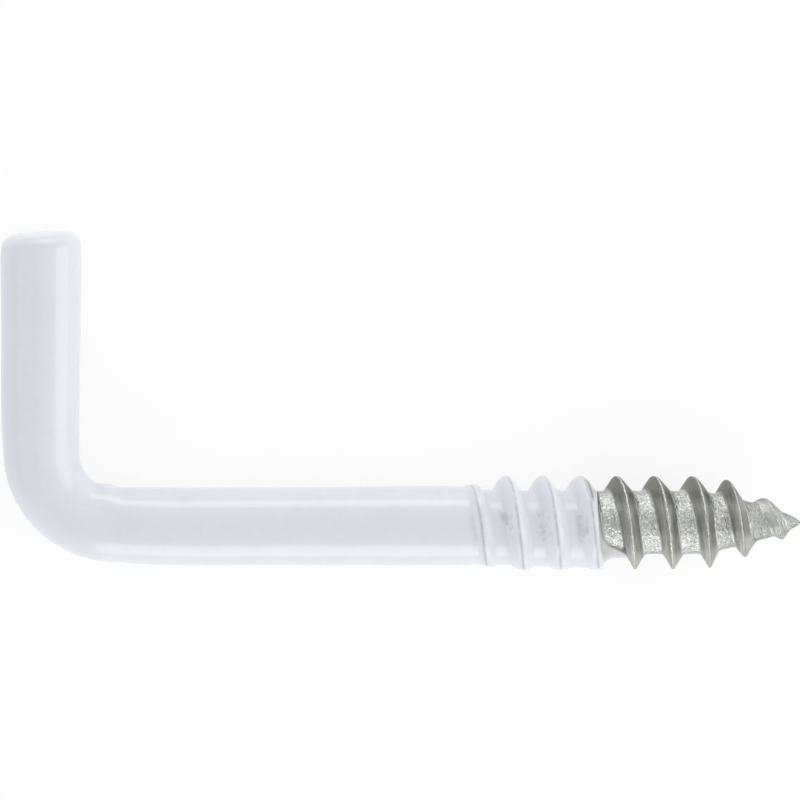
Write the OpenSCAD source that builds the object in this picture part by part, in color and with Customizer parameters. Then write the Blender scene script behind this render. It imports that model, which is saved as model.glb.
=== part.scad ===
// Screw-in hinge pin: a steel wire with a rolled wood thread at one end, bent at a right angle to leave
// an upright arm, and dipped in soft plastic from the arm's end to part of the way along the thread.
// Millimetres. The pin lies on a level surface: its shank runs along +X and its arm along +Y.

/* [Wire] */
// Diameter of the steel wire
wire_d = 3.3; // [3.25:0.05:3.8]
// From the arm's axis to the tip of the point
shank_l = 38; // [34:0.5:60]
// From the shank's axis to the wire's cut end on the arm
arm_l = 14.2; // [12:0.1:24]
// Radius of the bend along the wire's centre line
bend_r = 3.7; // [3:0.1:5.5]
// Bevel round the wire's cut end
arm_bevel = 0.25; // [0.1:0.05:0.6]

/* [Thread] */
// Diameter over the crests
crest_d = 4.7; // [4.4:0.05:5.4]
// Diameter at the root, between the turns
root_d = 3.14; // [2.7:0.02:3.2]
// Advance of the thread in one right-handed turn
pitch = 1.85; // [1.6:0.05:2.4]
// Width of the ridge along its crest
crest_w = 0.1; // [0.04:0.01:0.25]
// Width of the ridge at its foot
foot_w = 1.1; // [0.7:0.05:1.4]
// Height of the hollow flanks at half their width, as a share of the ridge's height
flank_fill = 0.42; // [0.3:0.01:0.5]
// From the tip back to where the ridge first rises
thread_l = 17.25; // [14:0.25:22]
// Length over which the ridge rises to its full height
run_out_l = 2.75; // [1.5:0.05:4]
// Length over which the wire narrows to the root
narrowing_l = 1.55; // [0.8:0.05:2.5]
// Length of the gimlet point
point_l = 4.95; // [3.5:0.05:6.5]
// Fullness of the point's core: 1 is a straight cone, and less is blunter
point_taper = 0.65; // [0.5:0.05:1]
// How long the ridge keeps its height along the point, where more is longer
point_ridge = 2.2; // [1.2:0.1:4]

/* [Coating] */
// Thickness round the bend
bend_coat_t = 0.18; // [0.17:0.01:0.3]
// Thickness on the shank, past the bend
shank_coat_t = 0.29; // [0.2:0.01:0.4]
// Thickness on the shank where the thread begins
run_coat_t = 0.34; // [0.25:0.01:0.45]
// How far the coating of the bend and the shank sagged to one side while it set
coat_sag = 0.14; // [0:0.01:0.14]
// Thickness along the arm
arm_coat_t = 0.33; // [0.24:0.01:0.45]
// Thickness round the thick ring near the arm's end
end_ring_t = 0.41; // [0.26:0.01:0.5]
// From the arm's coated end down to the middle of its thick ring
end_ring_drop = 1.6; // [1.2:0.1:2.5]
// Thickness at the rounded rim of the arm's end
end_rim_t = 0.36; // [0.24:0.01:0.4]
// Thickness over the wire's cut end
end_coat_t = 0.3; // [0.2:0.05:0.6]
// Rounding of the coating round the arm's end
end_round = 0.55; // [0.3:0.05:0.9]
// Length over which the coating thickens from the bend up the arm, and again up to the thick ring
arm_blend_l = 1.6; // [0.8:0.1:2.5]
// Length over which it thickens from the bend along the shank
shank_blend_l = 2.8; // [1:0.1:5]
// Mean thickness between the turns of the thread
valley_t = 0.34; // [0.32:0.01:0.45]
// How far the coating between the turns sagged to one side
valley_sag = 0.27; // [0:0.01:0.28]
// Thickness over the thread's crests
crest_t = 0.03; // [0.02:0.01:0.08]
// Bare length of the thread, from the tip to the coating's edge
bare_l = 10.15; // [6:0.05:13]
// Lean of the coating's edge, in degrees
edge_lean = 7; // [0:1:15]

/* [Hidden] */
$fn = 96;

steel_colour = [0.61, 0.62, 0.59];
coating_colour = [0.91, 0.92, 0.94];

wire_r = wire_d / 2;
root_r = root_d / 2;
crest_r = crest_d / 2;
bend_coat_r = wire_r + bend_coat_t;
shank_coat_r = wire_r + shank_coat_t;
run_coat_r = wire_r + run_coat_t;
arm_coat_r = wire_r + arm_coat_t;
end_ring_r = wire_r + end_ring_t;
coated_arm_l = arm_l + end_coat_t;
coated_crest_r = crest_r + crest_t;
end_rim_r = wire_r + end_rim_t;

run_x = shank_l - thread_l; // where the ridge first rises
point_x = shank_l - point_l; // where the point begins
edge_x = shank_l - bare_l; // where the coating stops, on the shank's axis

facets = 36; // sides round the thread
shoulder = 0.02; // step down from the plain wire to the rolled thread
seat = 0.5; // how far the thread's body reaches back into the plain wire's
snap = 0.02; // rows of the thread nearer than this to an end give way to it
edge_room = 1; // spare length of coated thread for the leaning cut at its edge

// The ridge across one turn: distance from the middle of its crest, and share of its height
ridge = [
    [-foot_w / 2, 0],
    [-(foot_w + crest_w) / 4, flank_fill],
    [-crest_w / 2, 1],
    [crest_w / 2, 1],
    [(foot_w + crest_w) / 4, flank_fill],
    [foot_w / 2, 0],
];

// The lowest full crest and the arm's thick ring both touch the surface
full_turns = floor((thread_l - run_out_l) / pitch - 1 / 4);
contact_x = shank_l - pitch * (full_turns + 1 / 4);
rest_tilt = asin((coated_crest_r - end_ring_r) / contact_x);

function share(x, from, length) = max(0, min(1, (x - from) / length));
function mix(a, b, w) = a + (b - a) * w;

// Radius at angle a of a circle that hangs off the axis towards 180 degrees
function hung_r(r, sag, a) = -sag * cos(a) + sqrt(r * r - pow(sag * sin(a), 2));

// Steel between the turns: the wire narrows to the root, and the root to the point
function core_at(x) =
    mix(wire_r - shoulder, root_r, share(x, run_x, narrowing_l))
    * pow(1 - share(x, point_x, point_l), point_taper);

// Height of the ridge above the core, which rises quickly at first and dies away along the point
function ridge_at(x) =
    let (
        rise = 1 - pow(1 - share(x, run_x, run_out_l), 1.5),
        top = mix(wire_r - shoulder, crest_r, rise),
        foot = mix(wire_r - shoulder, root_r, share(x, run_x, narrowing_l))
    )
    (top - foot) * (1 - pow(share(x, point_x, point_l), point_ridge));

steel_at = function (x, a, height) core_at(x) + ridge_at(x) * height;

// Coating: its valleys lie in a hung ring round the steel, and its ridges are rounder than the steel's
coat_at = function (x, a, height)
    let (
        along = share(x, run_x, narrowing_l),
        valley = hung_r(
            mix(run_coat_r - shoulder, root_r + valley_t, along), mix(coat_sag, valley_sag, along), a
        ),
        crest = core_at(x) + ridge_at(x) + crest_t
    )
    valley + max(0, crest - valley) * pow(height, 0.7);

// A closed body along +X between two planes, with the right-handed ridge wound round it, and seated in
// the body before it. radius(x, a, height) gives its radius at x and angle a from +Y, at a share of the
// ridge's height.
module wound_body(from_x, to_x, radius) {
    first_turn = floor((from_x - shank_l) / pitch) - 1;
    turns = ceil((to_x - from_x) / pitch) + 4;
    rows = [for (t = [0 : turns - 1], p = ridge) [shank_l + (first_turn + t) * pitch + p[0], p[1]]];
    ends = [[-seat, from_x], [0, from_x], [0, to_x]];
    pointed = radius(to_x, 0, 0) == 0;

    function point_at(x, j, height) =
        let (a = 360 * j / facets, r = radius(x, a, height)) [x, r * cos(a), r * sin(a)];
    function row_x(k, j) = rows[k][0] + pitch * j / facets;
    function index(k, j) =
        j == facets ? index(k + len(ridge), 0)
        : row_x(k, j) < from_x + snap ? facets + j
        : row_x(k, j) > to_x - snap ? 2 * facets + (pointed ? 0 : j)
        : (k + len(ends)) * facets + j;

    points = concat(
        [for (e = ends, j = [0 : facets - 1]) point_at(e[1], j, 0) + [e[0], 0, 0]],
        [for (k = [0 : len(rows) - 1], j = [0 : facets - 1])
            point_at(max(from_x, min(to_x, row_x(k, j))), j, rows[k][1])]
    );
    seated = [
        for (j = [0 : facets - 1])
        let (next = (j + 1) % facets)
        each [[j, facets + j, facets + next], [j, facets + next, next]]
    ];
    sides = [
        for (k = [0 : len(rows) - len(ridge) - 2], j = [0 : facets - 1])
        let (a = index(k, j), b = index(k + 1, j), c = index(k + 1, j + 1), d = index(k, j + 1))
        each [if (a != b && b != c && c != a) [a, b, c], if (a != c && c != d && d != a) [a, c, d]]
    ];
    caps = [
        [for (j = [0 : facets - 1]) j],
        if (!pointed) [for (j = [facets - 1 : -1 : 0]) 2 * facets + j],
    ];
    polyhedron(points, concat(seated, sides, caps), convexity = 10);
}

// A quarter bend between the arm and the shank
module bend(r) {
    translate([bend_r, bend_r, 0]) rotate([0, 0, 180]) rotate_extrude(angle = 90)
        translate([bend_r, 0]) circle(r);
}

// Forms turned about the arm's axis and the shank's, from profiles of [radius, distance along it]
module turned_arm(profile) {
    rotate([-90, 0, 0]) rotate_extrude() polygon(profile);
}

module turned_shank(profile) {
    rotate([0, 90, 0]) rotate_extrude() polygon(profile);
}

module steel_body() {
    turned_arm([
        [0, bend_r],
        [wire_r, bend_r],
        [wire_r, arm_l - arm_bevel],
        [wire_r - arm_bevel, arm_l],
        [0, arm_l],
    ]);
    bend(wire_r);
    turned_shank([[0, bend_r], [wire_r, bend_r], [wire_r, run_x], [0, run_x]]);
    wound_body(run_x, shank_l, steel_at);
}

module coated_arm() {
    bottom = bend_r - coat_sag;
    ring_h = coated_arm_l - end_ring_drop;
    rim_h = coated_arm_l - end_round;
    turned_arm(concat(
        [[0, bottom]],
        [for (w = [0 : 0.25 : 1])
            [mix(bend_coat_r, arm_coat_r, sin(90 * w)), bottom + arm_blend_l * w]],
        [for (w = [0 : 0.25 : 1])
            [mix(arm_coat_r, end_ring_r, (1 - cos(180 * w)) / 2), ring_h - arm_blend_l * (1 - w)]],
        [for (a = [0 : 15 : 90])
            [end_rim_r - end_round * (1 - cos(a)), rim_h + end_round * sin(a)]],
        [[0, coated_arm_l]]
    ));
}

module coated_shank() {
    turned_shank(concat(
        [[0, bend_r]],
        [for (w = [0 : 0.25 : 1])
            [mix(bend_coat_r, shank_coat_r, sin(90 * w)), bend_r + shank_blend_l * w]],
        [[run_coat_r, run_x], [0, run_x]]
    ));
}

module coated_body() {
    coated_arm();
    translate([0, -coat_sag, 0]) {
        bend(bend_coat_r);
        coated_shank();
    }
    wound_body(run_x, edge_x + edge_room, coat_at);
}

// Everything past the leaning plane where the coating stops
module past_edge() {
    reach = bare_l + crest_d;
    translate([edge_x, 0, 0]) rotate([0, 0, edge_lean]) translate([0, -reach / 2, -reach / 2])
        cube(reach);
}

// Turns the pin about the arm's axis until it rests, and centres it over the origin
module at_rest() {
    translate([
        (end_ring_r - shank_l * cos(rest_tilt)) / 2,
        (coated_crest_r - coated_arm_l) / 2,
        end_ring_r,
    ])
        rotate([0, -rest_tilt, 0]) children();
}

module steel_pin() {
    color(steel_colour) at_rest() steel_body();
}

module plastic_coating() {
    color(coating_colour) at_rest() difference() {
        coated_body();
        steel_body();
        past_edge();
    }
}

steel_pin();
plastic_coating();
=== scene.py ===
# Screw-in hinge pin: bright zinc-plated wire with a rolled wood thread, dipped in soft white vinyl.
# Pieces are shaped in millimetres in the pin's own frame, with the shank along +X and the arm along +Y,
# and then laid down where the CAD part lies.
import math
import bmesh
import bpy
from mathutils import Matrix, Vector, noise


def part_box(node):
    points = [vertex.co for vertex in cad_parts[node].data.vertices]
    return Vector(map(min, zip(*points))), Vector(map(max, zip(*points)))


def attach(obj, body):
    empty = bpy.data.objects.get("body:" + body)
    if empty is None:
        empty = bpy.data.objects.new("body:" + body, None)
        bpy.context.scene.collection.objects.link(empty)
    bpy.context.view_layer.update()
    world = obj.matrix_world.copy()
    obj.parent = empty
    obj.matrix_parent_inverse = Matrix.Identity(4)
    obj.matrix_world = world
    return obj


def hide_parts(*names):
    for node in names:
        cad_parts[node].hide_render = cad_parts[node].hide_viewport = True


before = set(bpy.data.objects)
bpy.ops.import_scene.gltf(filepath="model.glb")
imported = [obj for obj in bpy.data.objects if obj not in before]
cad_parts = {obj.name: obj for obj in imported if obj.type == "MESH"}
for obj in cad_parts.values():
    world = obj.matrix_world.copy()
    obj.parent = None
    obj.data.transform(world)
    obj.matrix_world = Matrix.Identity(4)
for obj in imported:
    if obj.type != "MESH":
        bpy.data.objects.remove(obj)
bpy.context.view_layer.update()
print("frame loaded:", ", ".join(sorted(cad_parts)))

mm = 0.001
weld = 0.002  # points nearer than this are one point
quarterTurn = math.pi / 2


def share(x, start, length):
    return max(0.0, min(1.0, (x - start) / length))


def mix(a, b, w):
    return a + (b - a) * w


def smoothMax(a, b, softness):
    return 0.5 * (a + b + math.hypot(a - b, softness))


def smoothMin(a, b, softness):
    return 0.5 * (a + b - math.hypot(a - b, softness))


# Value at x on a curve through (place, value) pairs, level at both ends
def softLine(points, x):
    if x <= points[0][0]:
        return points[0][1]
    for number in range(1, len(points)):
        if x < points[number][0]:
            break
    else:
        return points[-1][1]
    (x0, v0), (x1, v1) = points[number - 1], points[number]
    gap = x1 - x0
    before = points[number - 2] if number > 1 else None
    after = points[number + 1] if number + 1 < len(points) else None
    slope0 = (v1 - before[1]) / (x1 - before[0]) if before else 0
    slope1 = (after[1] - v0) / (after[0] - x0) if after else 0
    w = (x - x0) / gap
    level = w * w * (3 - 2 * w)
    return mix(v0, v1, level) + gap * w * (1 - w) * (slope0 * (1 - w) - slope1 * w)


# Angle of a place round the shank, from the arm's side over the top
def turnOf(place):
    return math.atan2(place.z, place.y)


def onTube(x, around, radius):
    return Vector((x, radius * math.cos(around), radius * math.sin(around)))


# How finely the wire is drawn
drawing = {
    "rowsPerTurn": 36,
    "crowding": 0.5,       # how much closer the rows lie at the crest
    "ringGap": 0.3,
    "bendRings": 26,
    "steelCrease": 40.0,   # steepest edge in degrees that is shaded smooth
    "vinylCrease": 60.0,
}

# Steel wire, its rolled ridge and its gimlet point
steel = {
    "radius": 1.65,
    "bend": 3.7,           # radius of the bend along the wire's centre line
    "armLength": 14.2,
    "armBevel": 0.25,
    "endHub": 0.25,        # share of the cut end that its last ring spans
    "tip": 38.0,           # from the arm's axis to the tip of the point
    "thread": 17.25,       # from the tip back to where the ridge first rises
    "pitch": 1.85,
    "rootRadius": 1.57,
    "runOut": 2.45,        # over which the ridge rises to its full height
    "riseCurve": 1.5,
    "narrowing": 1.55,     # over which the wire shrinks to the root
    "point": 4.95,
    "pointTaper": 0.65,
    "crestRadius": [
        (33.0, 2.35), (33.4, 2.28), (34.3, 2.16), (35.2, 1.73), (36.2, 1.25), (37.05, 0.9), (38.0, 0),
    ],
    "wander": [(22, -0.06), (28, 0), (30.6, 0.05), (32.6, 0.13), (34.8, 0.045), (36.3, 0.15), (38, 0.15)],
    "crestHalf": 0.05,
    "footHalf": 0.48,
    "footFillet": 0.14,
    "crestRound": 0.06,
    "dents": 0.014,        # depth of the rolled surface's unevenness
    "dentScales": (1.6, 4.3),
    "fineDents": 0.7,      # depth of the finer dents as a share of the coarser ones
    "dentsFade": (0.3, 1.0),  # towards the coating's lip and towards the tip
    "topWear": 0.02,       # how much lower the crests are on the arm's side
    "topLean": (0.15, 0.5),  # how much longer its left and right flanks are there
    "sides": 144,
}
threadStart = steel["tip"] - steel["thread"]
pointStart = steel["tip"] - steel["point"]
coil = steel["pitch"] / (2 * math.pi)  # advance for each radian of turn


def coreAt(x):
    plain = mix(steel["radius"], steel["rootRadius"], share(x, threadStart, steel["narrowing"]))
    return plain * (1 - share(x, pointStart, steel["point"])) ** steel["pointTaper"]


def ridgeAt(x, around):
    rise = 1 - (1 - share(x, threadStart, steel["runOut"])) ** steel["riseCurve"]
    crest = softLine(steel["crestRadius"], x) - steel["topWear"] * max(0.0, math.cos(around)) ** 2
    return max(0.0, mix(steel["radius"], crest, rise) - coreAt(x))


# Signed distance along the shank from the middle of the nearest crest
def fromCrest(x, around):
    turns = (x - softLine(steel["wander"], x) - steel["tip"]) / steel["pitch"] - around / (2 * math.pi)
    return (turns - round(turns)) * steel["pitch"]


# Distance from the crest as on a ridge whose flanks are even all round
def evenGap(x, around, lean):
    gap = fromCrest(x, around)
    return gap / (1 + lean[gap > 0] * max(0.0, math.cos(around)))


# Share of the ridge's height at a distance from its crest, with a hollow foot and a worn top
def steelRidge(gap):
    flank = 1 - (abs(gap) - steel["crestHalf"]) / (steel["footHalf"] - steel["crestHalf"])
    return smoothMin(smoothMax(flank, 0, steel["footFillet"]), 1, steel["crestRound"])


def steelRadius(x, around):
    gap = evenGap(x, around, steel["topLean"])
    return coreAt(x) + ridgeAt(x, around) * steelRidge(gap) / steelRidge(0)


# Coating: it sagged towards -Y while it set, so it is thin at the top of the shank and nearly fills the
# thread's valleys below. Places are along the wire, or up the arm where the name says so.
coating = {
    "crestSkin": 0.022,    # over the crests
    "leastSkin": 0.015,
    "tallestCrest": 2.38,  # radius of the coated crest that the pin rests on
    "armLength": 14.468,
    "ringRadius": 2.06,    # underside of the thick ring near the arm's end, which the arm rests on
    "armRadius": [
        (3.7, 1.88), (4.4, 1.912), (6.4, 1.938), (8.4, 1.95), (10.6, 1.968), (12.9, 1.995), (13.95, 1.97),
    ],
    "armUnderside": [(7.0, 0.0), (12.6, 0.065), (14.5, 0.065)],
    "armShift": [(3.7, 0.0), (5.0, -0.03), (7.0, -0.03), (10.0, 0.02)],
    "bendRadius": 1.835,
    "shankRadius": [
        (3.7, 1.84), (4.6, 1.905), (6.5, 1.94), (11.5, 1.94), (20.75, 1.985), (22.3, 1.86), (24.5, 1.9),
        (27.5, 1.94),
    ],
    "sag": [
        (3.7, 0.14), (4.6, 0.15), (6.5, 0.2), (11.5, 0.2), (20.75, 0.165), (22.3, 0.24), (24.5, 0.29),
        (27.5, 0.33),
    ],
    "sagFades": 3.0,       # over this length of the arm
    "pool": [(1.5, 0.0), (2.25, 0.12), (2.9, 0.19), (3.4, 0.165), (4.3, 0.0)],  # in the corner of the bend
    "poolSpread": 65.0,    # degrees round the wire
    "ridgeHalf": 0.58,     # half the width of the coated ridge
    "ridgeFullness": 1.9,
    "ridgeFillet": 0.08,
    "topLean": (-0.15, 0.15),  # as the steel's
    "edge": [(-1, 27.95), (-0.33, 27.62), (0.47, 27.5), (1, 27.56)],  # by cosine of the angle from +Y
    "bead": 0.035,         # height of the drip along the edge
    "beadWidth": 0.16,
    "lip": 0.09,
    "lipRings": 4,
    "endRound": 0.62,
    "endDome": 0.11,
    "endSlope": 0.058,
    "endSlopeFades": (2.0, 1.5),  # starts this far below the end, and is full after so much more
    "endRings": 8,
    "domeRings": (0.8, 0.6, 0.4, 0.2, 0.08),  # as shares of the flat of the end
    "waves": 0.008,        # unevenness of the upper side
    "waveScale": 0.45,
    "wavesFade": 2.0,      # towards the thread
    "sides": 96,
}


def edgeAt(around):
    return softLine(coating["edge"], math.cos(around))


# Selects the points of the piece in edit mode whose place passes a test
def pickPoints(piece, wanted):
    bpy.ops.mesh.select_mode(type="VERT")
    bpy.ops.mesh.select_all(action="DESELECT")
    shape = bmesh.from_edit_mesh(piece.data)
    for point in shape.verts:
        point.select_set(wanted(point.co))
    shape.select_flush(True)
    bmesh.update_edit_mesh(piece.data)


# One pitch of a line along the shank, wound by the Screw modifier into a tube between two planes or edges
def windTube(name, startAt, endAt, radiusAt, sides):
    bpy.ops.object.select_all(action="DESELECT")
    pitch = steel["pitch"]
    angles = [2 * math.pi * side / sides for side in range(sides)]
    first = min(startAt(around) for around in angles)
    last = max(endAt(around) for around in angles)
    firstCrest = steel["tip"] + (math.floor((first - steel["tip"]) / pitch) - 1) * pitch
    bpy.ops.mesh.primitive_grid_add(
        x_subdivisions=drawing["rowsPerTurn"], y_subdivisions=1, size=pitch, location=(firstCrest, pitch, 0)
    )
    piece = bpy.context.object
    piece.name = name
    bpy.ops.object.transform_apply(location=True)
    bpy.ops.object.mode_set(mode="EDIT")
    pickPoints(piece, lambda place: place.y > pitch)
    bpy.ops.mesh.delete(type="VERT")
    bpy.ops.object.mode_set(mode="OBJECT")
    for point in piece.data.vertices:
        turn = (point.co.x - firstCrest) / pitch
        crowded = turn - drawing["crowding"] * math.sin(2 * math.pi * turn) / (2 * math.pi)
        point.co.x = firstCrest + pitch * crowded
    screw = piece.modifiers.new("Winding", "SCREW")
    screw.axis = "X"
    screw.angle = 2 * math.pi
    screw.screw_offset = pitch
    screw.iterations = math.ceil((last - firstCrest) / pitch) + 1
    screw.steps = screw.render_steps = sides
    screw.use_merge_vertices = False
    bpy.ops.object.modifier_apply(modifier=screw.name)
    for point in piece.data.vertices:
        around = turnOf(point.co)
        x = max(startAt(around), min(endAt(around), point.co.x))
        point.co = onTube(x, around, radiusAt(x, around))
    bpy.ops.object.mode_set(mode="EDIT")
    bpy.ops.mesh.select_all(action="SELECT")
    bpy.ops.mesh.remove_doubles(threshold=weld)
    bpy.ops.mesh.delete_loose()
    bpy.ops.object.mode_set(mode="OBJECT")
    return piece


# A plain tube from the start of the thread back along the shank, round the bend and up the arm
def drawTube(name, radius, armTop, sides):
    bend = steel["bend"]
    bpy.ops.object.select_all(action="DESELECT")
    bpy.ops.mesh.primitive_circle_add(
        vertices=sides, radius=radius, location=(threadStart, 0, 0), rotation=(0, quarterTurn, 0)
    )
    piece = bpy.context.object
    piece.name = name
    bpy.ops.object.transform_apply(location=True, rotation=True)
    bpy.ops.object.mode_set(mode="EDIT")
    bpy.ops.mesh.select_all(action="SELECT")
    shankRings = round((threadStart - bend) / drawing["ringGap"])
    for ring in range(shankRings):
        bpy.ops.mesh.extrude_region_move(
            TRANSFORM_OT_translate={"value": ((bend - threadStart) / shankRings, 0, 0)}
        )
    bpy.ops.mesh.spin(steps=drawing["bendRings"], angle=quarterTurn, center=(bend, bend, 0), axis=(0, 0, 1))
    armRings = round((armTop - bend) / drawing["ringGap"])
    for ring in range(armRings):
        bpy.ops.mesh.extrude_region_move(
            TRANSFORM_OT_translate={"value": (0, (armTop - bend) / armRings, 0)}
        )
    return piece


# Extrudes the selected ring and sets its new points by a rule
def extrudeTo(piece, newPlace):
    bpy.ops.mesh.extrude_region_move(TRANSFORM_OT_translate={"value": (0, 0, 0)})
    shape = bmesh.from_edit_mesh(piece.data)
    for point in shape.verts:
        if point.select:
            point.co = newPlace(point.co)
    bmesh.update_edit_mesh(piece.data)


# Steps the open ring at the arm's top inwards to new radii and heights, and closes it
def closeArm(radius, height, steps):
    for newRadius, newHeight in steps:
        bpy.ops.mesh.extrude_region_move(TRANSFORM_OT_translate={"value": (0, newHeight - height, 0)})
        factor = newRadius / radius
        bpy.ops.transform.resize(value=(factor, 1, factor), center_override=(0, newHeight, 0))
        radius, height = newRadius, newHeight
    bpy.ops.mesh.merge(type="CENTER")


# Where a point of the plain tube lies: distance along the wire, angle from the inner side, its ring's middle
# and the way inwards
def wireCoordinates(place):
    bend = steel["bend"]
    if place.x >= bend:
        return place.x, turnOf(place), Vector((place.x, 0, 0)), Vector((0, 1, 0))
    if place.y >= bend:
        way = bend - bend * quarterTurn - (place.y - bend)
        return way, math.atan2(place.z, place.x), Vector((0, place.y, 0)), Vector((1, 0, 0))
    spoke = Vector((bend - place.x, bend - place.y, 0))
    turned = math.atan2(spoke.x, spoke.y)
    inward = spoke.normalized()
    middle = Vector((bend, bend, 0)) - inward * bend
    return bend - bend * turned, math.atan2(place.z, bend - spoke.length), middle, inward


def selectOnly(piece):
    bpy.ops.object.select_all(action="DESELECT")
    piece.select_set(True)
    bpy.context.view_layer.objects.active = piece


# Joins tubes that share their end rings, and shades the whole
def finishPiece(piece, others, smoothAngle):
    selectOnly(piece)
    for other in others:
        other.select_set(True)
    bpy.ops.object.join()
    bpy.ops.object.mode_set(mode="EDIT")
    bpy.ops.mesh.select_all(action="SELECT")
    bpy.ops.mesh.remove_doubles(threshold=weld)
    bpy.ops.mesh.normals_make_consistent(inside=False)
    bpy.ops.object.mode_set(mode="OBJECT")
    bpy.ops.object.shade_smooth_by_angle(angle=math.radians(smoothAngle))


# Lays a finished piece down where the CAD part lies, hangs it on the root body, and hides the part
def layDown(piece, node):
    lowestPart = 0.25  # of a turn from the tip to where the crest is lowest
    fullTurns = math.floor((steel["thread"] - steel["runOut"]) / steel["pitch"] - lowestPart)
    contact = steel["tip"] - steel["pitch"] * (fullTurns + lowestPart)
    restTilt = math.asin((coating["tallestCrest"] - coating["ringRadius"]) / contact)
    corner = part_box("plastic_coating")[0]
    axis = Vector((corner.x, corner.y, 0))
    axis += Vector((coating["ringRadius"], coating["tallestCrest"], coating["ringRadius"])) * mm
    piece.matrix_world = (
        Matrix.Translation(axis) @ Matrix.Rotation(-restTilt, 4, "Y") @ Matrix.Scale(mm, 4)
    )
    selectOnly(piece)
    bpy.ops.object.transform_apply(location=True, rotation=True, scale=True)
    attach(piece, "root")
    if node:
        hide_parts(node)


# Measures that the finishes follow, kept on the points: the ridge's height, the distance past the coating's
# edge, and a place that runs along the thread's turns, whose angle tells how far the crest is
def noteMeasures(piece):
    measures = {"ridgeRise": "FLOAT", "pastEdge": "FLOAT", "turnPlace": "FLOAT_VECTOR"}
    for name, kind in measures.items():
        piece.data.attributes.new(name, kind, "POINT")
    rises, edges, turns = (piece.data.attributes[name].data for name in measures)
    for point in piece.data.vertices:
        x = point.co.x
        around = turnOf(point.co)
        gap = fromCrest(x, around) if x > threadStart else steel["pitch"] / 2
        phase = gap / coil
        rises[point.index].value = ridgeAt(x, around) if x > threadStart else 0
        edges[point.index].value = x - edgeAt(around)
        turns[point.index].vector = (coil * math.cos(phase), coil * math.sin(phase), x)


# The wire's plain stretch with its bevelled cut end
def drawWire(name, sides):
    low = steel["armLength"] - steel["armBevel"]
    piece = drawTube(name, steel["radius"], low, sides)
    end = steel["radius"] - steel["armBevel"]
    closeArm(steel["radius"], low, [(end, steel["armLength"]), (end * steel["endHub"], steel["armLength"])])
    bpy.ops.object.mode_set(mode="OBJECT")
    return piece


def makeSteelPin():
    piece = windTube(
        "zinc_plated_pin", lambda around: threadStart, lambda around: steel["tip"],
        steelRadius, steel["sides"]
    )
    finishPiece(piece, [drawWire("plain_wire", steel["sides"])], drawing["steelCrease"])
    noteMeasures(piece)
    coarse, fine = steel["dentScales"]
    fromLip, fromTip = steel["dentsFade"]
    for point in piece.data.vertices:
        x, y, z = point.co
        radius = math.hypot(y, z)
        bare = share(x - edgeAt(turnOf(point.co)), coating["lip"], fromLip)
        if bare > 0 and radius > 0:
            waves = noise.noise(point.co * coarse) + steel["fineDents"] * noise.noise(point.co * fine)
            wear = bare * steel["dents"] * waves * share(steel["tip"] - x, 0.0, fromTip)
            point.co.y *= 1 + wear / radius
            point.co.z *= 1 + wear / radius
    return piece


# Moves a ring's point of the coating's plain tube to its place on the skin
def skinPlace(place):
    way, around, middle, inward = wireCoordinates(place)
    bend = steel["bend"]
    outward = Vector((0, 0, 0))
    if way >= bend:
        radius = softLine(coating["shankRadius"], way)
        outward.y = -softLine(coating["sag"], way)
    elif place.y >= bend:
        radius = softLine(coating["armRadius"], place.y)
        radius += softLine(coating["armUnderside"], place.y) * max(0.0, -math.sin(around)) ** 2
        outward.x = softLine(coating["armShift"], place.y)
        outward.y = -coating["sag"][0][1] * (1 - share(place.y, bend, coating["sagFades"]))
    else:
        turned = (bend - way) / (bend * quarterTurn)
        start = coating["shankRadius"][0][1]
        end = coating["armRadius"][0][1]
        radius = softLine([(0, start), (0.5, coating["bendRadius"]), (1, end)], turned)
        outward.y = -coating["sag"][0][1]
    spread = max(0.0, 1 - (math.degrees(around) / coating["poolSpread"]) ** 2)
    radius += softLine(coating["pool"], way) * spread * spread * (3 - 2 * spread)
    return middle + inward * radius * math.cos(around) + outward + Vector((0, 0, radius * math.sin(around)))


# Radius of the coating over the thread: a hung ring between the turns, a softer ridge, and a bead at the edge
def skinRadius(x, around):
    plain = softLine(coating["shankRadius"], x)
    sag = softLine(coating["sag"], x)
    valley = -sag * math.cos(around) + math.sqrt(plain ** 2 - (sag * math.sin(around)) ** 2)
    crest = coreAt(x) + ridgeAt(x, around) + coating["crestSkin"]
    lift = max(0.0, crest - valley)
    gap = evenGap(x, around, coating["topLean"])
    bulge = 1 - (abs(gap) / coating["ridgeHalf"]) ** coating["ridgeFullness"]
    ridge = smoothMax(bulge, 0, coating["ridgeFillet"]) / smoothMax(1, 0, coating["ridgeFillet"])
    nearEdge = share(x, edgeAt(around) - coating["beadWidth"], coating["beadWidth"])
    bead = coating["bead"] * math.sin(nearEdge * quarterTurn) ** 2 * (1 - share(bulge, 0, 1))
    least = coating["leastSkin"]
    return smoothMax(valley + lift * ridge, steelRadius(x, around) + least, least) + bead


# Rule that rolls the coating's edge over to the steel, for one ring of its lip
def lipPlace(ring):
    turned = quarterTurn * ring / coating["lipRings"]

    def newPlace(place):
        around = turnOf(place)
        x = edgeAt(around) + coating["lip"] * math.sin(turned)
        radius = mix(steelRadius(x, around), skinRadius(edgeAt(around), around), math.cos(turned))
        return onTube(x, around, radius)
    return newPlace


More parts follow.
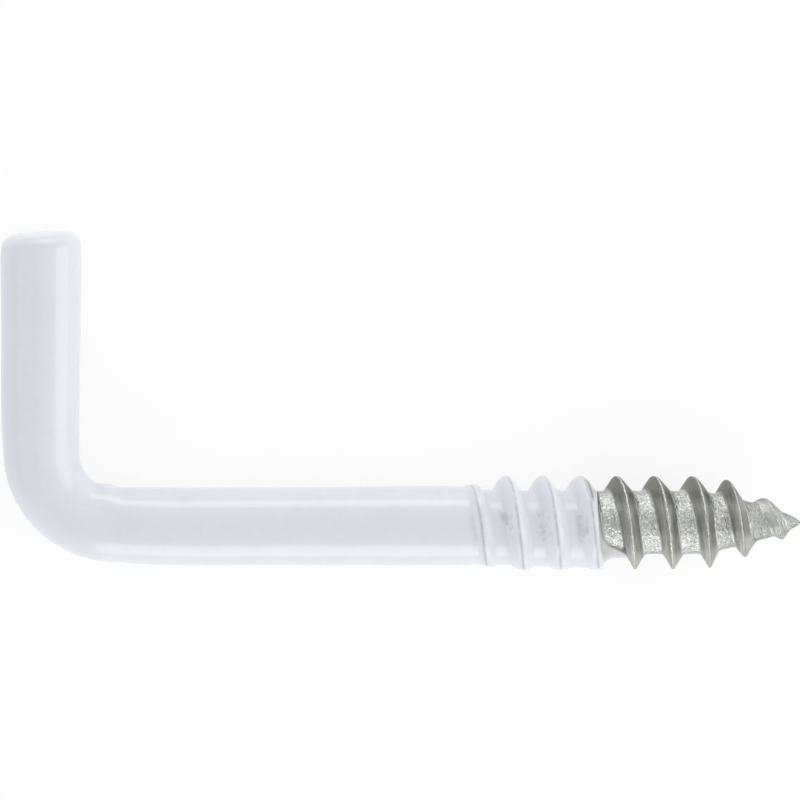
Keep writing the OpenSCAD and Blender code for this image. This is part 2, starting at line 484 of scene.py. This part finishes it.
# Rounds and domes the coating over the arm's end
def closeCoatedArm(piece):
    low = coating["armLength"] - coating["endRound"] - coating["endDome"]
    rim = softLine(coating["armRadius"], low)
    flat = rim - coating["endRound"]
    steps = []
    for ring in range(1, coating["endRings"] + 1):
        turned = quarterTurn * ring / coating["endRings"]
        radius = flat + coating["endRound"] * math.cos(turned)
        dome = coating["endDome"] * (1 - (radius / rim) ** 2)
        steps.append((radius, low + coating["endRound"] * math.sin(turned) + dome))
    for w in coating["domeRings"]:
        dome = coating["endDome"] * (1 - (flat * w / rim) ** 2)
        steps.append((flat * w, low + coating["endRound"] + dome))
    pickPoints(piece, lambda place: place.y > low - weld)
    closeArm(rim, low, steps)


def makeCoating():
    plain = drawTube(
        "coated_wire", steel["radius"], coating["armLength"] - coating["endRound"] - coating["endDome"],
        coating["sides"]
    )
    bpy.ops.object.mode_set(mode="OBJECT")
    for point in plain.data.vertices:
        if point.co.x < threadStart - weld:
            point.co = skinPlace(point.co)
        else:
            around = turnOf(point.co)
            point.co = onTube(threadStart, around, skinRadius(threadStart, around))
    bpy.ops.object.mode_set(mode="EDIT")
    closeCoatedArm(plain)
    bpy.ops.object.mode_set(mode="OBJECT")
    slopeStart, slopeLength = coating["endSlopeFades"]
    for point in plain.data.vertices:
        calm = share(threadStart - point.co.x, 0, coating["wavesFade"])
        if point.co.z > 0:
            point.co.z += coating["waves"] * noise.noise(point.co * coating["waveScale"]) * calm
        sloping = share(point.co.y, coating["armLength"] - slopeStart, slopeLength)
        point.co.y += coating["endSlope"] * point.co.x * sloping
    skin = windTube("white_vinyl_coating", lambda around: threadStart, edgeAt, skinRadius, coating["sides"])
    bpy.ops.object.mode_set(mode="EDIT")
    pickPoints(skin, lambda place: place.x > edgeAt(turnOf(place)) - weld)
    for ring in range(1, coating["lipRings"] + 1):
        extrudeTo(skin, lipPlace(ring))
    bpy.ops.object.mode_set(mode="OBJECT")
    wall = windTube(
        "thread_wall", lambda around: threadStart, lambda around: edgeAt(around) + coating["lip"],
        steelRadius, coating["sides"]
    )
    finishPiece(skin, [plain, wall, drawWire("wire_wall", coating["sides"])], drawing["vinylCrease"])
    noteMeasures(skin)
    return skin


# Thin film that ran out past the coating's edge: a smear over the ridge's flank in front, and a web that
# bridges the first bare valley below
film = {
    "reach": [(-1, 1.42), (-0.8, 1.3), (-0.55, 0.62), (0.2, 0.34), (0.7, 0.16), (1, 0.12)],  # past the edge
    "level": [(-1, 1.76), (-0.75, 1.7), (-0.4, 1.5)],  # its radius in the valley
    "climb": [(-1, 0.42), (-0.6, 0.3), (-0.2, 0.0)],  # how much higher it stands against the coating's edge
    "climbReach": 0.68,
    "skin": 0.012,
    "fillet": 0.1,
    "rootIn": 0.03,        # how far its closed underside lies inside the steel
    "overlap": 0.05,
    "fade": 0.15,
}


def filmStart(around):
    return edgeAt(around) - film["overlap"]


def filmEnd(around):
    return edgeAt(around) + softLine(film["reach"], math.cos(around))


def filmRadius(x, around):
    low = steelRadius(x, around) - film["rootIn"]
    if x <= filmStart(around) or x >= filmEnd(around):
        return low
    level = softLine(film["level"], math.cos(around))
    sinking = (1 - share(x, edgeAt(around), film["climbReach"])) ** 2
    level += softLine(film["climb"], math.cos(around)) * sinking
    top = smoothMax(low + film["rootIn"] + film["skin"], level, film["fillet"])
    return mix(low, top, math.sqrt(share(filmEnd(around) - x, 0, film["fade"])))


def makeFilm():
    top = windTube("thin_vinyl_film", filmStart, filmEnd, filmRadius, coating["sides"])
    under = windTube(
        "film_underside", filmStart, filmEnd,
        lambda x, around: steelRadius(x, around) - film["rootIn"], coating["sides"]
    )
    finishPiece(top, [under], drawing["vinylCrease"])
    fades = top.data.attributes.new("filmFade", "FLOAT", "POINT")
    for point in top.data.vertices:
        fades.data[point.index].value = share(filmEnd(turnOf(point.co)) - point.co.x, 0, 2 * film["fade"])
    return top


# Small helpers for finishes
white = (1, 1, 1, 1)
coarser = 3  # how much coarser the blotches among streaks are than the streaks

# Sockets of the Mix node, which has one set for numbers and one for colours
numberMix = {"kind": "FLOAT", "factor": 0, "first": 2, "second": 3, "result": 0}
colourMix = {"kind": "RGBA", "factor": 0, "first": 6, "second": 7, "result": 2}


def addNode(tree, kind, settings=None, **inputs):
    node = tree.nodes.new(kind)
    for name, value in (settings or {}).items():
        setattr(node, name, value)
    for name, value in inputs.items():
        node.inputs[name.replace("_", " ")].default_value = value
    return node


# Puts a value or another node's socket on an input
def feed(tree, source, socket):
    if isinstance(source, (int, float, tuple)):
        socket.default_value = source
    else:
        tree.links.new(source, socket)


# Value from one range to another, eased at both ends
def addRange(tree, source, fromMin, fromMax, toMin=0.0, toMax=1.0, ease=True):
    node = addNode(
        tree, "ShaderNodeMapRange", {"interpolation_type": "SMOOTHSTEP" if ease else "LINEAR"},
        From_Min=fromMin, From_Max=fromMax, To_Min=toMin, To_Max=toMax
    )
    tree.links.new(source, node.inputs["Value"])
    return node.outputs[0]


# Band that fades in over one range of the source and out over another
def addBand(tree, source, fadeIn, fadeOut):
    return addProduct(tree, addRange(tree, source, *fadeIn), addRange(tree, source, *fadeOut))


def addMath(tree, operation, a, b=None, clamped=False):
    node = addNode(tree, "ShaderNodeMath", {"operation": operation, "use_clamp": clamped})
    feed(tree, a, node.inputs[0])
    if b is not None:
        feed(tree, b, node.inputs[1])
    return node.outputs[0]


def addProduct(tree, first, *others):
    product = first
    for other in others:
        product = addMath(tree, "MULTIPLY", product, other)
    return product


def addBlend(tree, factor, first, second, sockets=colourMix):
    node = addNode(tree, "ShaderNodeMix", {"data_type": sockets["kind"]})
    for name, source in (("factor", factor), ("first", first), ("second", second)):
        feed(tree, source, node.inputs[sockets[name]])
    return node.outputs[sockets["result"]]


def addAttribute(tree, name, output="Fac"):
    return addNode(tree, "ShaderNodeAttribute", {"attribute_name": name}).outputs[output]


def addAxes(tree, place):
    axes = addNode(tree, "ShaderNodeSeparateXYZ")
    tree.links.new(place, axes.inputs[0])
    return axes.outputs


def addBump(tree, shader, height, depth):
    bump = addNode(tree, "ShaderNodeBump", Strength=1.0, Distance=depth * mm)
    tree.links.new(height, bump.inputs["Height"])
    tree.links.new(bump.outputs[0], shader.inputs["Normal"])


def newMaterial(name, shaderKind="ShaderNodeBsdfPrincipled"):
    material = bpy.data.materials.new(name)
    material.use_nodes = True
    tree = material.node_tree
    tree.nodes.clear()
    shader = tree.nodes.new(shaderKind)
    output = tree.nodes.new("ShaderNodeOutputMaterial")
    tree.links.new(shader.outputs[0], output.inputs[0])
    return material, tree, shader


# Signed distance from the crest's middle, out of the place along the turns
def addCrestGap(tree):
    turn = addAxes(tree, addAttribute(tree, "turnPlace", "Vector"))
    return addProduct(tree, addMath(tree, "ARCTAN2", turn["Y"], turn["X"]), coil)


# Place on the piece in millimetres
def addPlace(tree):
    place = addNode(tree, "ShaderNodeTexCoord")
    toMm = addNode(tree, "ShaderNodeMapping", Scale=(1 / mm, 1 / mm, 1 / mm))
    tree.links.new(place.outputs["Object"], toMm.inputs["Vector"])
    return toMm.outputs[0]


# Shared mottling: blotches with grain on them, as a mask from 0 to 1
mottle = {
    "detail": 3.0,
    "roughness": 0.6,
    "middle": 0.5,         # mask where the pattern is neither light nor dark
}


def makeMottle():
    group = bpy.data.node_groups.new("mottling", "ShaderNodeTree")
    sockets = (
        ("Place", "NodeSocketVector"), ("Blotches", "NodeSocketFloat"), ("Grains", "NodeSocketFloat"),
        ("Grain Share", "NodeSocketFloat"), ("Contrast", "NodeSocketFloat"),
    )
    for name, kind in sockets:
        group.interface.new_socket(name, in_out="INPUT", socket_type=kind)
    group.interface.new_socket("Mask", in_out="OUTPUT", socket_type="NodeSocketFloat")
    entry = group.nodes.new("NodeGroupInput")
    leave = group.nodes.new("NodeGroupOutput")
    layers = []
    for name in ("Blotches", "Grains"):
        layer = addNode(group, "ShaderNodeTexNoise", Detail=mottle["detail"], Roughness=mottle["roughness"])
        group.links.new(entry.outputs["Place"], layer.inputs["Vector"])
        group.links.new(entry.outputs[name], layer.inputs["Scale"])
        layers.append(layer.outputs["Fac"])
    pattern = addBlend(group, entry.outputs["Grain Share"], *layers, numberMix)
    centred = addMath(group, "SUBTRACT", pattern, mottle["middle"])
    spread = addProduct(group, centred, entry.outputs["Contrast"])
    mask = addMath(group, "ADD", spread, mottle["middle"], clamped=True)
    group.links.new(mask, leave.inputs["Mask"])
    return group


def addMottle(tree, place, blotches, grains, grainShare, contrast):
    node = addNode(
        tree, "ShaderNodeGroup", {"node_tree": mottling},
        Blotches=blotches, Grains=grains, Grain_Share=grainShare, Contrast=contrast
    )
    tree.links.new(place, node.inputs["Place"])
    return node.outputs["Mask"]


# Streaks along the thread's turns
def addStreaks(tree, streaks, stretch, mixing):
    along = addNode(tree, "ShaderNodeMapping", Scale=(1, 1, stretch))
    tree.links.new(addAttribute(tree, "turnPlace", "Vector"), along.inputs["Vector"])
    return addMottle(tree, along.outputs[0], streaks / coarser, streaks, *mixing)


# Bright zinc plate: grainy and hammered between the turns, olive grey on the flanks with painted shade on the
# arm's side, and a painted highlight along the crests.
# Sizes are in millimetres and patterns are counted per millimetre. A mixing is the share of the finer pattern
# and the contrast. A cover gives where a mark starts and where it is full, and how strong it is at each.
zincFinish = {
    "valleyDark": (0.36, 0.37, 0.345, 1),
    "valleyBright": (0.95, 0.96, 0.935, 1),
    "scratch": (0.13, 0.135, 0.115, 1),
    "flankDark": (0.33, 0.335, 0.31, 1),
    "flankLight": (0.76, 0.77, 0.735, 1),
    # painted shade: darker flank colour for the arm's side
    "paintedShade": (0.185, 0.19, 0.165, 1),
    # painted highlight: lighter colour along the crests
    "crest": (0.66, 0.67, 0.64, 1),
    "edgeTint": (0.72, 0.73, 0.70, 1),
    "dirt": (0.15, 0.135, 0.115, 1),
    "blotches": 2.4,
    "grains": 8.0,
    "grainMixing": (0.6, 3.0),
    "unevenMixing": (0.2, 1.0),
    "streaks": 16.0,
    "streakStretch": 0.22,
    "streakMixing": (0.6, 2.8),
    "speckles": (0.7, 0.3),  # shares of the grain and of the streaks in the valleys' colour
    "scratchCover": (0.24, 0.06, 0, 0.75),
    "pointDarkCover": (15.2, 17.2, 1, 0.35),  # along the shank: the valleys darker towards the point
    "paintedShadeCover": (-5.2, -4.3, 0, 0.85),  # painted shade across the shank, on the arm's side of the flanks
    "dirtEnds": (0.05, 0.30),  # past the coating's edge
    "dirtCover": (0, 0.6, 0.4, 1),
    "flankEnd": (0.60, 0.42),  # from the crest's middle
    "crestHalf": (0.02, 0.07),
    "crestWander": 0.16,
    "valleyRoughness": (0.12, 0.30),
    "flankRoughness": 0.34,
    "grainDepth": 0.042,
    "dentCells": 5.0,
    "cellShare": 0.9,      # of the grain's depth
    "streakShare": 0.4,
    "flankShare": 0.3,     # what is left of the grain on the flanks
}


def zincMaterial():
    material, tree, shader = newMaterial("bright_zinc_plate")
    finish = zincFinish
    shader.inputs["Metallic"].default_value = 1
    shader.inputs["Specular Tint"].default_value = finish["edgeTint"]
    place = addPlace(tree)
    axes = addAxes(tree, place)
    pastEdge = addAttribute(tree, "pastEdge")
    grain = addMottle(tree, place, finish["blotches"], finish["grains"], *finish["grainMixing"])
    streak = addStreaks(tree, finish["streaks"], finish["streakStretch"], finish["streakMixing"])
    uneven = addMottle(tree, place, finish["blotches"], finish["grains"], *finish["unevenMixing"])

    # where the crest, the flanks and the dirt lie
    offset = addProduct(tree, addMath(tree, "SUBTRACT", uneven, mottle["middle"]), finish["crestWander"])
    signedGap = addCrestGap(tree)
    gap = addMath(tree, "ABSOLUTE", signedGap)
    crestGap = addMath(tree, "ABSOLUTE", addMath(tree, "ADD", signedGap, offset))
    foot = addRange(tree, gap, *finish["flankEnd"])
    crest = addProduct(tree, addRange(tree, crestGap, *reversed(finish["crestHalf"])), streak)
    flank = addProduct(tree, foot, addRange(tree, crestGap, *finish["crestHalf"]))
    nearEdge = addRange(tree, pastEdge, *reversed(finish["dirtEnds"]))
    dirt = addProduct(tree, nearEdge, addRange(tree, streak, *finish["dirtCover"]))

    # colour
    fromGrain, fromStreak = finish["speckles"]
    speckles = addMath(tree, "ADD", addProduct(tree, grain, fromGrain), addProduct(tree, streak, fromStreak))
    # the valleys' speckles fade, so they darken towards the point
    speckles = addProduct(tree, speckles, addRange(tree, axes["X"], *finish["pointDarkCover"]))
    valley = addBlend(tree, speckles, finish["valleyDark"], finish["valleyBright"])
    valley = addBlend(tree, addRange(tree, streak, *finish["scratchCover"]), valley, finish["scratch"])
    side = addBlend(tree, streak, finish["flankDark"], finish["flankLight"])
    # painted shade: the flanks turn darker towards the arm's side of the shank
    side = addBlend(tree, addRange(tree, axes["Y"], *finish["paintedShadeCover"]), side, finish["paintedShade"])
    colour = addBlend(tree, flank, valley, side)
    # painted highlight along the crests, set by the crest mask and the streaks
    colour = addBlend(tree, crest, colour, finish["crest"])
    colour = addBlend(tree, dirt, colour, finish["dirt"])
    tree.links.new(colour, shader.inputs["Base Color"])

    # gloss and relief
    rough = addRange(tree, grain, 0, 1, *reversed(finish["valleyRoughness"]), False)
    rough = addBlend(tree, flank, rough, finish["flankRoughness"], numberMix)
    tree.links.new(rough, shader.inputs["Roughness"])
    cells = addNode(tree, "ShaderNodeTexVoronoi", Scale=finish["dentCells"])
    tree.links.new(place, cells.inputs["Vector"])
    dents = addProduct(tree, cells.outputs["Distance"], finish["cellShare"])
    calm = addRange(tree, flank, 0, 1, 1, finish["flankShare"])
    hammered = addProduct(tree, addMath(tree, "ADD", grain, dents), calm)
    height = addMath(tree, "ADD", hammered, addProduct(tree, streak, finish["streakShare"]))
    addBump(tree, shader, height, finish["grainDepth"])
    return material


# Dipped white vinyl: cool white and glossy, with grey lines along the crests where the skin is thin, smudges
# beside them, and a few worn streaks at the last turn. Values are written as in the zinc's.
vinylFinish = {
    "colour": (0.745, 0.768, 0.825, 1),
    "pale": (0.785, 0.808, 0.862, 1),
    "thin": (0.47, 0.49, 0.53, 1),
    "smudge": (0.44, 0.46, 0.50, 1),
    "worn": (0.20, 0.20, 0.18, 1),
    "edge": (0.755, 0.765, 0.785, 1),
    "blotches": 0.5,
    "grains": 3.5,
    "mottleMixing": (0.45, 2.4),
    "ridgeRises": (0.05, 0.5),  # heights of the ridge between which its marks set in
    "lineGap": 0.05,       # from the crest's middle to its grey line
    "lineHalf": (0.11, 0.01),
    "lineCover": (0, 0.6, 0.35, 0.8),
    "smudgeBlotches": 0.9,
    "smudgeGrains": 2.6,
    "smudgeMixing": (0.5, 4.0),
    "smudgeCover": (0.4, 0.9, 0, 0.5),
    "smudgeGaps": ((-0.9, -0.65), (-0.15, -0.35)),  # from the crest's middle
    "smudgePlaces": ((-7.4, -6.3), (-4.9, -5.6)),  # across the shank
    "wornStreaks": 9.0,
    "wornStretch": 0.25,
    "wornMixing": (0.5, 4.0),
    "wornCover": (0.5, 0.95, 0, 0.85),
    "wornGaps": (0.02, 0.12),
    "wornPlaces": (-4.9, -4.4),
    "wornEnds": (-1.0, -0.6),  # before the coating's edge
    "rimEnds": (-0.15, -0.04),
    "roughness": (0.11, 0.19),
    "depth": 0.006,
}


def vinylMaterial():
    material, tree, shader = newMaterial("white_dipped_vinyl")
    finish = vinylFinish
    place = addPlace(tree)
    across = addAxes(tree, place)["Y"]
    pastEdge = addAttribute(tree, "pastEdge")
    cloudy = addMottle(tree, place, finish["blotches"], finish["grains"], *finish["mottleMixing"])
    patch = addMottle(tree, place, finish["smudgeBlotches"], finish["smudgeGrains"], *finish["smudgeMixing"])
    strokes = addStreaks(tree, finish["wornStreaks"], finish["wornStretch"], finish["wornMixing"])
    gap = addCrestGap(tree)
    tall = addRange(tree, addAttribute(tree, "ridgeRise"), *finish["ridgeRises"])

    # marks along the thread
    offLine = addMath(tree, "ABSOLUTE", addMath(tree, "SUBTRACT", gap, finish["lineGap"]))
    line = addRange(tree, offLine, *finish["lineHalf"])
    line = addProduct(tree, line, tall, addRange(tree, patch, *finish["lineCover"]))
    beside = addBand(tree, gap, *finish["smudgeGaps"])
    onTop = addBand(tree, across, *finish["smudgePlaces"])
    smudge = addProduct(tree, beside, addRange(tree, patch, *finish["smudgeCover"]), tall, onTop)
    worn = addProduct(
        tree, addRange(tree, gap, *finish["wornGaps"]), addRange(tree, strokes, *finish["wornCover"]),
        addRange(tree, across, *finish["wornPlaces"]), addRange(tree, pastEdge, *finish["wornEnds"])
    )
    rim = addRange(tree, pastEdge, *finish["rimEnds"])

    colour = addBlend(tree, cloudy, finish["colour"], finish["pale"])
    colour = addBlend(tree, smudge, colour, finish["smudge"])
    colour = addBlend(tree, line, colour, finish["thin"])
    colour = addBlend(tree, worn, colour, finish["worn"])
    colour = addBlend(tree, rim, colour, finish["edge"])
    tree.links.new(colour, shader.inputs["Base Color"])
    tree.links.new(addRange(tree, cloudy, 0, 1, *finish["roughness"], False), shader.inputs["Roughness"])
    addBump(tree, shader, cloudy, finish["depth"])
    return material


# Milky film, thinner and clearer towards its end
filmFinish = {
    "colour": (0.84, 0.83, 0.86, 1),
    "dull": (0.72, 0.71, 0.73, 1),
    "blotches": 1.5,
    "grains": 6.0,
    "mixing": (0.4, 1.8),
    "roughness": (0.12, 0.3),
    "cover": (0.75, 0.95),
    "depth": 0.004,
}


def filmMaterial():
    material, tree, shader = newMaterial("clear_vinyl_film")
    finish = filmFinish
    cloudy = addMottle(tree, addPlace(tree), finish["blotches"], finish["grains"], *finish["mixing"])
    tree.links.new(addBlend(tree, cloudy, finish["dull"], finish["colour"]), shader.inputs["Base Color"])
    tree.links.new(addRange(tree, cloudy, 0, 1, *finish["roughness"], False), shader.inputs["Roughness"])
    cover = addRange(tree, cloudy, 0, 1, *finish["cover"], False)
    tree.links.new(addProduct(tree, cover, addAttribute(tree, "filmFade")), shader.inputs["Alpha"])
    addBump(tree, shader, cloudy, finish["depth"])
    return material


# Studio: a white floor, a pale room that is dimmer overhead, and soft boxes with their direction from the
# pin, size and the brightness of their cloth
studio = {
    "floorSize": 4.0,
    "floorPaint": (0.92, 0.92, 0.92, 1),
    "floorGlow": 1.06,
    "floorGlowShare": 0.75,  # to the eye and in the gloss; the rest is paint, which takes the shadow
    "room": (0.815, 0.475),  # brightness near the horizon and overhead
    "roomHeights": (0.45, 0.95),
    "distance": 0.30,      # of the soft boxes
    "boxes": {
        "arm_side": {"towards": (0.05, 1, 0.18), "size": (0.22, 0.13), "brightness": 2.3},
        "near_side": {"towards": (0.05, -1, 0.36), "size": (0.18, 0.20), "brightness": 2.0},
        "point_side": {"towards": (1, 0, 0.5), "size": (0.24, 0.24), "brightness": 1.4},
        "far_left": {"towards": (-1, 0, 0.9), "size": (0.24, 0.24), "brightness": 0.45},
    },
}


def makeFloor():
    bpy.ops.object.select_all(action="DESELECT")
    bpy.ops.mesh.primitive_plane_add(size=studio["floorSize"], location=(0, 0, 0))
    floor = bpy.context.object
    floor.name = "pale_floor"
    material, tree, blend = newMaterial("pale_floor", "ShaderNodeMixShader")
    paint = addNode(tree, "ShaderNodeBsdfDiffuse", Color=studio["floorPaint"])
    glow = addNode(tree, "ShaderNodeEmission", Color=white, Strength=studio["floorGlow"])
    ray = tree.nodes.new("ShaderNodeLightPath").outputs
    mirrored = addMath(tree, "MAXIMUM", ray["Is Glossy Ray"], ray["Is Transmission Ray"])
    seen = addMath(tree, "MAXIMUM", ray["Is Camera Ray"], mirrored)
    glowing = addProduct(tree, seen, studio["floorGlowShare"])
    for source, socket in zip((glowing, paint.outputs[0], glow.outputs[0]), blend.inputs):
        tree.links.new(source, socket)
    floor.data.materials.append(material)


def makeWorld():
    world = bpy.data.worlds.new("pale_room")
    bpy.context.scene.world = world
    world.use_nodes = True
    tree = world.node_tree
    tree.nodes.clear()
    output = tree.nodes.new("ShaderNodeOutputWorld")
    towards = addAxes(tree, addNode(tree, "ShaderNodeTexCoord").outputs["Generated"])
    level = addRange(tree, towards["Z"], *studio["roomHeights"], *studio["room"])
    sky = addNode(tree, "ShaderNodeBackground", Color=white)
    tree.links.new(level, sky.inputs["Strength"])
    tree.links.new(sky.outputs[0], output.inputs[0])


# Turns a thing to look along -back, with its own X as near the given side as can be
def aim(thing, back, side):
    z = Vector(back).normalized()
    y = z.cross(Vector(side)).normalized()
    thing.rotation_mode = "QUATERNION"
    thing.rotation_quaternion = Matrix((y.cross(z), y, z)).transposed().to_quaternion()


def makeLights():
    for name, box in studio["boxes"].items():
        lamp = bpy.data.lights.new(name, "AREA")
        lamp.shape = "RECTANGLE"
        lamp.size, lamp.size_y = box["size"]
        lamp.energy = box["brightness"] * math.pi * lamp.size * lamp.size_y
        holder = bpy.data.objects.new(name, lamp)
        bpy.context.scene.collection.objects.link(holder)
        towards = Vector(box["towards"]).normalized()
        holder.location = towards * studio["distance"]
        aim(holder, towards, Vector((0, 0, 1)).cross(towards))
        holder.visible_camera = False


# Camera nearly straight above the pin
lens = {
    "distance": 0.190,
    "fromLeft": 3.8,       # degrees off straight above, towards the arm
    "fromArm": 7.7,        # degrees off straight above, towards the arm's end
    "span": 0.03985,       # width of the picture at the pin
    "centre": (-0.00016, 0.00009, 0.0021),
    "sensor": 36.0,
    "clipping": (0.01, 10),
}


def makeCamera():
    camera = bpy.data.objects.new("camera", bpy.data.cameras.new("camera"))
    bpy.context.scene.collection.objects.link(camera)
    camera.data.sensor_width = lens["sensor"]
    camera.data.lens = lens["sensor"] * lens["distance"] / lens["span"]
    left = math.tan(math.radians(lens["fromLeft"]))
    up = math.tan(math.radians(lens["fromArm"]))
    back = Vector((-left, up, 1)).normalized()
    camera.location = Vector(lens["centre"]) + back * lens["distance"]
    aim(camera, back, (1, 0, 0))
    camera.data.clip_start, camera.data.clip_end = lens["clipping"]
    bpy.context.scene.camera = camera


makeCamera()
makeFloor()
makeWorld()
makeLights()
print("stage, lights and camera set")

mottling = makeMottle()
pin = makeSteelPin()
pin.data.materials.append(zincMaterial())
layDown(pin, "steel_pin")
print("steel pin:", len(pin.data.polygons), "faces")

skin = makeCoating()
skin.data.materials.append(vinylMaterial())
layDown(skin, "plastic_coating")
print("coating:", len(skin.data.polygons), "faces")

web = makeFilm()
web.data.materials.append(filmMaterial())
layDown(web, None)
print("film at the coating's edge:", len(web.data.polygons), "faces")

bpy.context.scene.view_settings.view_transform = "Standard"
